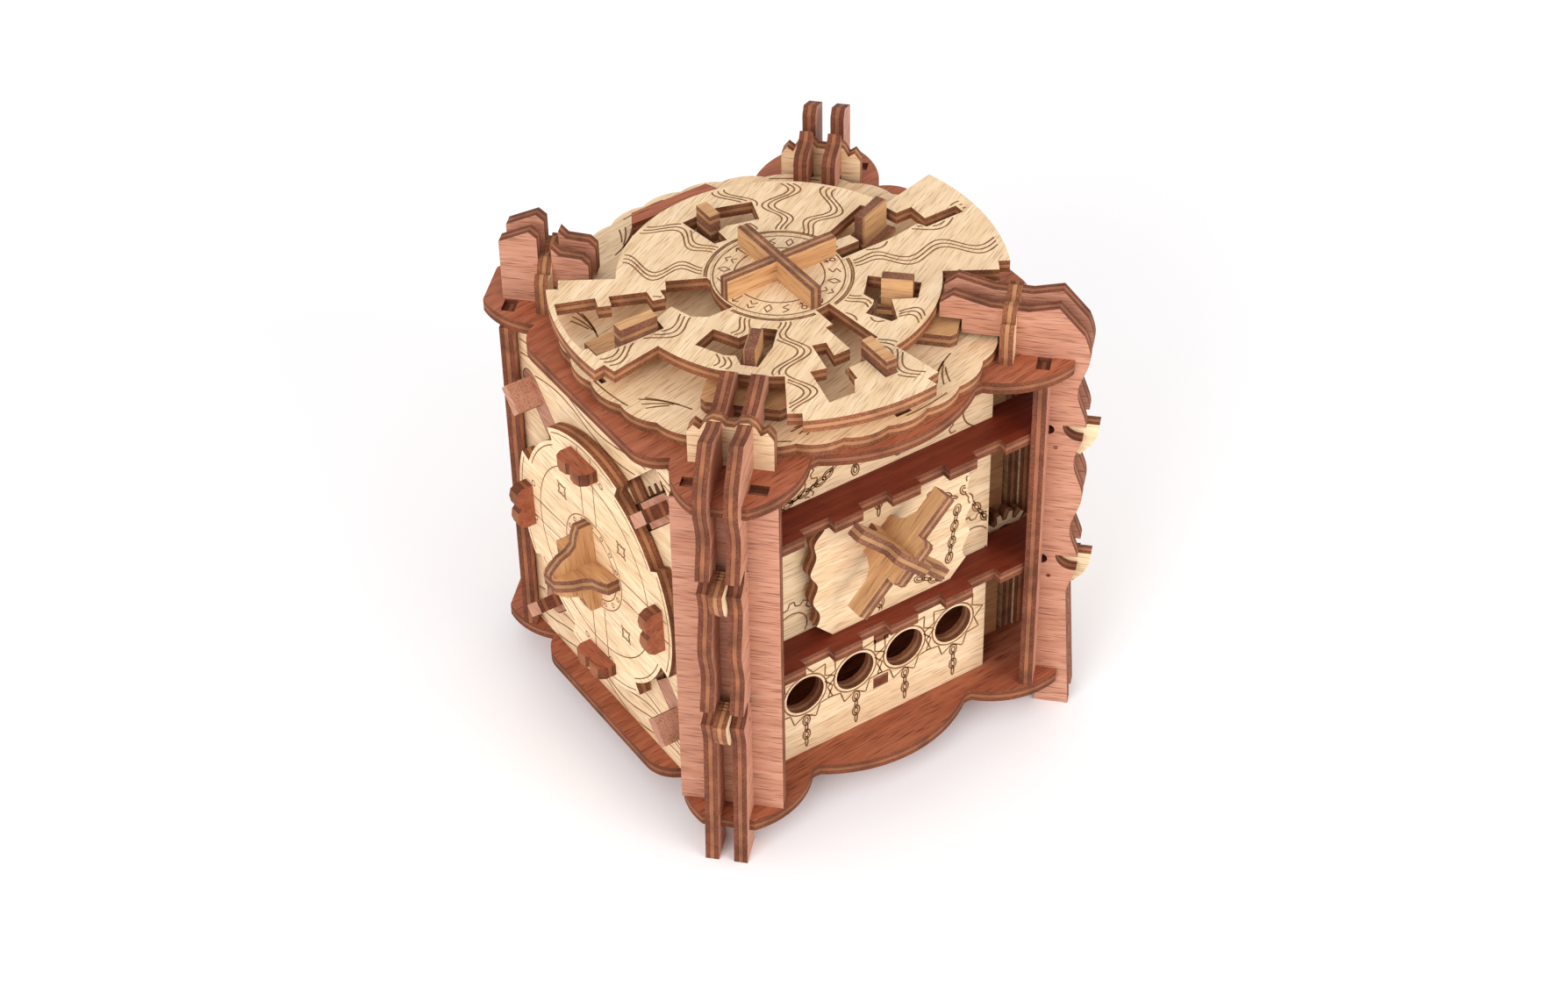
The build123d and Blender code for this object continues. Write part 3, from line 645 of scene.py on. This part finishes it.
# %% Rays of the sun
def ray(angle, start, end, sway, wave, step=1.35):
    """Three paths: distance r from start to end, pushed sideways by sway times the sine of the
    distance over the wave, growing from nothing near the hub, plus -1, 0 or 1 steps."""
    out = np.linspace(start, end, 90)
    grow = np.clip((out - start) / 9, 0, 1)
    push = sway * grow * np.sin((out - start) / wave * 2 * math.pi)
    a = math.radians(angle)
    paths = []
    for lane in (-1, 0, 1):
        off = push + lane * step * (1 + 0.35 * grow)
        paths.append(np.column_stack([out * math.cos(a) - off * math.sin(a),
                                      out * math.sin(a) + off * math.cos(a)]))
    return paths


# Each ray is an angle in degrees, then its start, end, sway and wave in mm.
RAYS = (
    (112, 22, 45, 3.5, 19), (140, 22, 45, -3.8, 18), (75, 23, 45, 3.6, 17),
    (55, 22, 45, -3.8, 16), (33, 21, 45, 3.4, 18), (340, 22, 64, 2.8, 21),
    (356, 24, 63, -2.6, 22), (296, 22, 45, 3.8, 16), (241, 22, 62, -3.9, 18),
    (211, 22, 45, 3.8, 17), (168, 22, 62, 2.8, 21), (276, 22, 60, 3.0, 19),
    (184, 24, 62, -2.6, 20),
)
sun_lines = [path for shape in RAYS for path in ray(*shape)]
sun_lines += [circle(0, 0, 21.2), circle(0, 0, 20.6)]
draw("sun_rays", "sun_disc", "sun", "top", AXIS, sun_lines)

# %% [markdown]
# The hub carries a ring of marks between two circles: arrows, chevrons, diamonds, zigzags and
# stemmed circles, each turned to stand on the inner circle.

# %% The ring of marks on the hub
def turned(points, angle, radius):
    """A small drawing, up being outward, set at a radius and turned to an angle."""
    a = math.radians(angle - 90)
    points = np.array(points, float) + np.array([0, radius])
    return np.column_stack([points[:, 0] * math.cos(a) - points[:, 1] * math.sin(a),
                            points[:, 0] * math.sin(a) + points[:, 1] * math.cos(a)])


MARKS = (
    [[(0, -1.9), (0, 1.9)], [(-1.2, 0.7), (0, 1.9), (1.2, 0.7)]],
    [[(-1.2, -1.7), (0, -0.3), (1.2, -1.7)], [(-1.2, 0.3), (0, 1.7), (1.2, 0.3)]],
    [[(0, -1.8), (1.1, 0), (0, 1.8), (-1.1, 0), (0, -1.8)]],
    [[(-1.1, -1.7), (0.9, -0.6), (-0.9, 0.6), (1.1, 1.7)]],
    [circle(0, 0.9, 0.8), [(0, 0.1), (0, -1.8)], [(-0.9, -1.0), (0.9, -1.0)]],
)
hub_lines = [circle(0, 0, 18.8), circle(0, 0, 13.0)]
MARK_COUNT = 20
MARK_RADIUS = 15.9
for number in range(MARK_COUNT):
    angle = (number + 0.5) * 360 / MARK_COUNT
    hub_lines += [turned(stroke, angle, MARK_RADIUS) for stroke in MARKS[number % len(MARKS)]]
draw("hub_marks", "hub_disc", "hub", "top", AXIS, hub_lines, 0.42)

# %% [markdown]
# Under the sun lies the scalloped disc, with a gust of wind burned near its rim every eighth of
# a turn: a long curve with shorter ones springing from it.

# %% Gusts on the scalloped disc
# Each curve of a gust is its length and rise in mm, and the share of its length where it begins.
GUST = ((15, 4.4, 0.0), (13, 5.8, 0.42), (11, 6.6, 0.56), (13.8, 3.0, 0.3))


def gust(angle, radius):
    """Four arcs that spring from one another and open out: y rises with the square of x."""
    along = np.linspace(0, 1, 24)
    paths = []
    for reach, lift, begin in GUST:
        part = begin + (1 - begin) * along
        paths.append(turned(np.column_stack([reach * part - 7, lift * part ** 2 - 2]), angle, radius))
    return paths


gust_lines = [path for number in range(8) for path in gust(202 + 45 * number, 55)]
gust_lines += [circle(0, 0, 62.0, a, a + 14) for a in range(0, 360, 45)]
draw("wind_gusts", "scallop_disc", "case", "top", AXIS, gust_lines)

# %% [markdown]
# ## The front
# Each porthole sits in a spiked ring with a chain hanging from it. More chains and two cogs are
# burned higher up, and some run behind the shield and come out again on the shield itself.

# %% Front panel and shield
panel_low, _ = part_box("front_panel")
FRONT = Vector((AXIS.x, panel_low.y, 0))
PORTS = [-26.7 + 17.8 * number for number in range(4)]
PORT_Z = 37.1
front_lines = []
for x in PORTS:
    front_lines += [circle(x, PORT_Z, 7.6), spikes(x, PORT_Z, 8.1, 11.2, 9)]
    front_lines += chain((x + 0.4, PORT_Z - 8.6), (x + 0.4, 15))
# Each cog is its place, its radius, its count of teeth and the radius of its inner circle.
COGS = ((-31, 66, 9.5, 12, 5.2), (33, 66, 11, 14, 6), (36, 118, 13.5, 16, 8), (-30, 117, 8, 10, 4))
for x, z, radius, teeth, inner in COGS:
    front_lines += [gear(x, z, radius, teeth), circle(x, z, inner)]
# Each chain is its start and its end. The first stops short of the knob's foot, which turns.
CHAINS = (
    ((-5, 106), (-5, 100)), ((12, 99), (22, 93)), ((27, 106), (27, 96)), ((24, 96), (40, 70)),
    ((23, 90), (20, 69)), ((8, 69), (19, 63)), ((-4, 68), (-4, 62)), ((-10, 128), (-9, 112)),
    ((2, 128), (6, 112)), ((-34, 112), (-20, 116)), ((-20, 116), (-10, 124)),
)
chain_lines = [oval for start, end in CHAINS for oval in chain(start, end)]
draw("front_lines", "front_panel", "case", "front", FRONT, front_lines + chain_lines)
draw("shield_lines", "shield", "shield", "front", FRONT, chain_lines)

# %% [markdown]
# Two tenons of a cross-wall inside come through the panel between the middle portholes. Their
# ends are cut edges, so they get a plywood whose every side counts as an edge.

# %% Tenon ends in the front panel
end_grain = ply("tenon_end", FINISH["red"], Vector((0, 0, 1)), Vector((1, 0, 0)), 0.0, 4 * MM, 77)
TENON_WIDTH = 5.4
TENON_HALF = 2.2
tenons = [[(0.4, z - TENON_HALF), (0.4, z + TENON_HALF)] for z in (28.2, 46.4)]
draw("panel_tenons", "front_panel", "case", "front", FRONT, tenons, TENON_WIDTH, end_grain)

# %% [markdown]
# ## The dial and its wall
# The dial is ruled like an instrument: rings, two pairs of crossing lines, rivets round the rim
# and a small compass sign in each quarter. The wall behind it has water lines above and below.

# %% Dial
dial_lines = [circle(0, 0, radius) for radius in (12.2, 15.2, 30.0)]
COMPASS = spikes(0, 0, 0.9 * math.sqrt(2), 3.4, 4)
SIGN_RADIUS = 23
RIVET_INNER, RIVET_OUTER, STUD_RADIUS = 34.2, 38.6, 13.7
for quarter in range(4):
    a = 45 + 90 * quarter + 5
    dial_lines.append(circle(0, 0, 40.6, a + 20, a + 70))
    dial_lines.append(circle(0, 0, 36.6, a - 17, a + 17))
    dial_lines.append(turned(COMPASS, 45 + 90 * quarter, SIGN_RADIUS))
    dial_lines.append(turned(circle(0, 0, 2.0), 45 + 90 * quarter, SIGN_RADIUS))
    for lane in (-3.6, 3.6):
        dial_lines.append(turned([(lane, 0), (lane, 24.5)], 90 * quarter + 3, 15.4))
for number in range(16):
    rivet_radius = RIVET_OUTER if number % 4 in (1, 2) else RIVET_INNER
    dial_lines.append(turned(circle(0, 0, 0.95), number * 22.5 + 11, rivet_radius))
    dial_lines.append(turned(circle(0, 0, 0.7), number * 22.5, STUD_RADIUS))
draw("dial_lines", "dial_disc", "dial", "left", DIAL, dial_lines, 0.36)

# %% Water lines on the walls
def water(rows, sway, wave, start, end):
    """Level lines that rise and fall: height = row + sway sin(x / wave + row / 5)."""
    x = np.linspace(start, end, 120)
    return [np.column_stack([x, row + sway * np.sin(x / wave + row / 5)]) for row in rows]


wall = middle("left_wall")
LEFT = Vector((wall.x, DIAL.y, 0))
left_lines = water((17, 21, 24.5, 28), 2.6, 7.5, -44, 44)
left_lines += water((115, 119, 122.5, 126), 2.2, 8.5, -44, 44)
draw("left_water", "left_wall", "case", "left", LEFT, left_lines)

# %% [markdown]
# The back and the right side are drawn in the same hand: a train of cogs with water below.

# %% Back and right walls
cogs = [gear(-14, 78, 17, 20), circle(-14, 78, 10), gear(15.2, 92, 13, 16), circle(15.2, 92, 7),
        gear(12, 62.5, 12, 14), circle(12, 62.5, 6)]
far = water((20, 24, 28, 32), 2.4, 7.0, -40, 40) + cogs
far += chain((-27, 128), (-27, 92)) + chain((26, 128), (26, 104))
back = middle("back_wall")
draw("back_lines", "back_wall", "case", "back", Vector((back.x, back.y, 0)), far)
right = middle("right_wall")
draw("right_lines", "right_wall", "case", "right", Vector((right.x, right.y, 0)), far)

# %% [markdown]
# ## Studio
# The box stands on a plain pale floor, wide enough for its rim to stay out of sight from above.
# A grid in polar form has its points close together where the box stands.

# %% Floor
def floor(radius=4.0, rings=24, sectors=64):
    """A flat disc as a grid in polar form: x = r cos a, y = r sin a, z = 0."""
    reach = radius * np.linspace(0.002, 1, rings) ** 2
    angle = np.linspace(0, 2 * math.pi, sectors, endpoint=False)
    x = np.outer(reach, np.cos(angle)).ravel()
    y = np.outer(reach, np.sin(angle)).ravel()
    ring, sector = np.meshgrid(np.arange(rings - 1), np.arange(sectors), indexing="ij")
    near, far_ring = ring * sectors, (ring + 1) * sectors
    after = (sector + 1) % sectors
    faces = np.stack([near + sector, far_ring + sector, far_ring + after, near + after], axis=-1)
    middle_face = [list(range(sectors))]
    mesh = bpy.data.meshes.new("floor")
    mesh.from_pydata(np.column_stack([x, y, np.zeros(len(x))]).tolist(), [],
                     faces.reshape(-1, 4).tolist() + middle_face)
    made = bpy.data.objects.new("floor", mesh)
    bpy.context.scene.collection.objects.link(made)
    return made


ground = floor()
print("the floor has", len(ground.data.polygons), "faces")

# %% [markdown]
# The floor is matt and nearly white, and so is the sky, which gives the light from all sides.
# The Standard view keeps pale wood as bright as its colour says.

# %% Paper and sky
paper = bpy.data.materials.new("paper_sweep")
paper.use_nodes = True
paper_shader = paper.node_tree.nodes["Principled BSDF"]
paper_shader.inputs["Base Color"].default_value = tone(250, 249, 250)
paper_shader.inputs["Roughness"].default_value = 0.9
ground.data.materials.append(paper)
world = bpy.data.worlds.new("sky")
world.use_nodes = True
world.node_tree.nodes["Background"].inputs["Color"].default_value = (1.0, 1.0, 1.0, 1.0)
world.node_tree.nodes["Background"].inputs["Strength"].default_value = 0.9
bpy.context.scene.world = world
bpy.context.scene.view_settings.view_transform = "Standard"
print("view transform:", bpy.context.scene.view_settings.view_transform)

# %% [markdown]
# The sky keeps the shadows thin. One large lamp high on the left gives the faces their
# direction, and a second in front lifts the panels.

# %% Lamps
def lamp(name, place, size, power):
    """A square area lamp that looks at the middle of the box."""
    light = bpy.data.lights.new(name, "AREA")
    light.size = size
    light.energy = power
    made = bpy.data.objects.new(name, light)
    bpy.context.scene.collection.objects.link(made)
    made.location = place
    aim = Vector((0, 0, 0.07)) - Vector(place)
    made.rotation_euler = aim.to_track_quat("-Z", "Y").to_euler()
    return made


lamp("key", (-1.05, -0.55, 0.75), 0.7, 8.0)
lamp("front_fill", (0.35, -1.3, 0.6), 0.9, 8.5)

# %% [markdown]
# The camera looks down over the corner between the dial and the front. A long lens from a metre
# away keeps the upright edges nearly level with one another.

# %% Camera
def camera(azimuth, elevation, roll, distance, aim, lens):
    """Stands a distance from the aim along (-sin az cos el, -cos az cos el, sin el), and turns
    its own right and up by the roll."""
    az, el, turn = (math.radians(v) for v in (azimuth, elevation, roll))
    back_way = Vector((-math.sin(az) * math.cos(el), -math.cos(az) * math.cos(el), math.sin(el)))
    right_way = Vector((0, 0, 1)).cross(back_way).normalized()
    up_way = back_way.cross(right_way)
    right_turned = math.cos(turn) * right_way + math.sin(turn) * up_way
    up_turned = -math.sin(turn) * right_way + math.cos(turn) * up_way
    data = bpy.data.cameras.new("camera")
    data.lens = lens
    data.sensor_width = 36
    data.sensor_fit = "HORIZONTAL"
    data.clip_start = 0.01
    made = bpy.data.objects.new("camera", data)
    bpy.context.scene.collection.objects.link(made)
    axes = Matrix((right_turned, up_turned, back_way)).transposed().to_4x4()
    made.matrix_world = Matrix.Translation(aim + distance * back_way) @ axes
    bpy.context.scene.camera = made
    return made


AIM = Vector((AXIS.x + 0.4 * MM, AXIS.y - 0.25 * MM, 65.7 * MM))
eye = camera(azimuth=33.48, elevation=40.44, roll=-0.86, distance=0.955, aim=AIM, lens=73.2)
print("camera at", [round(c, 3) for c in eye.location])
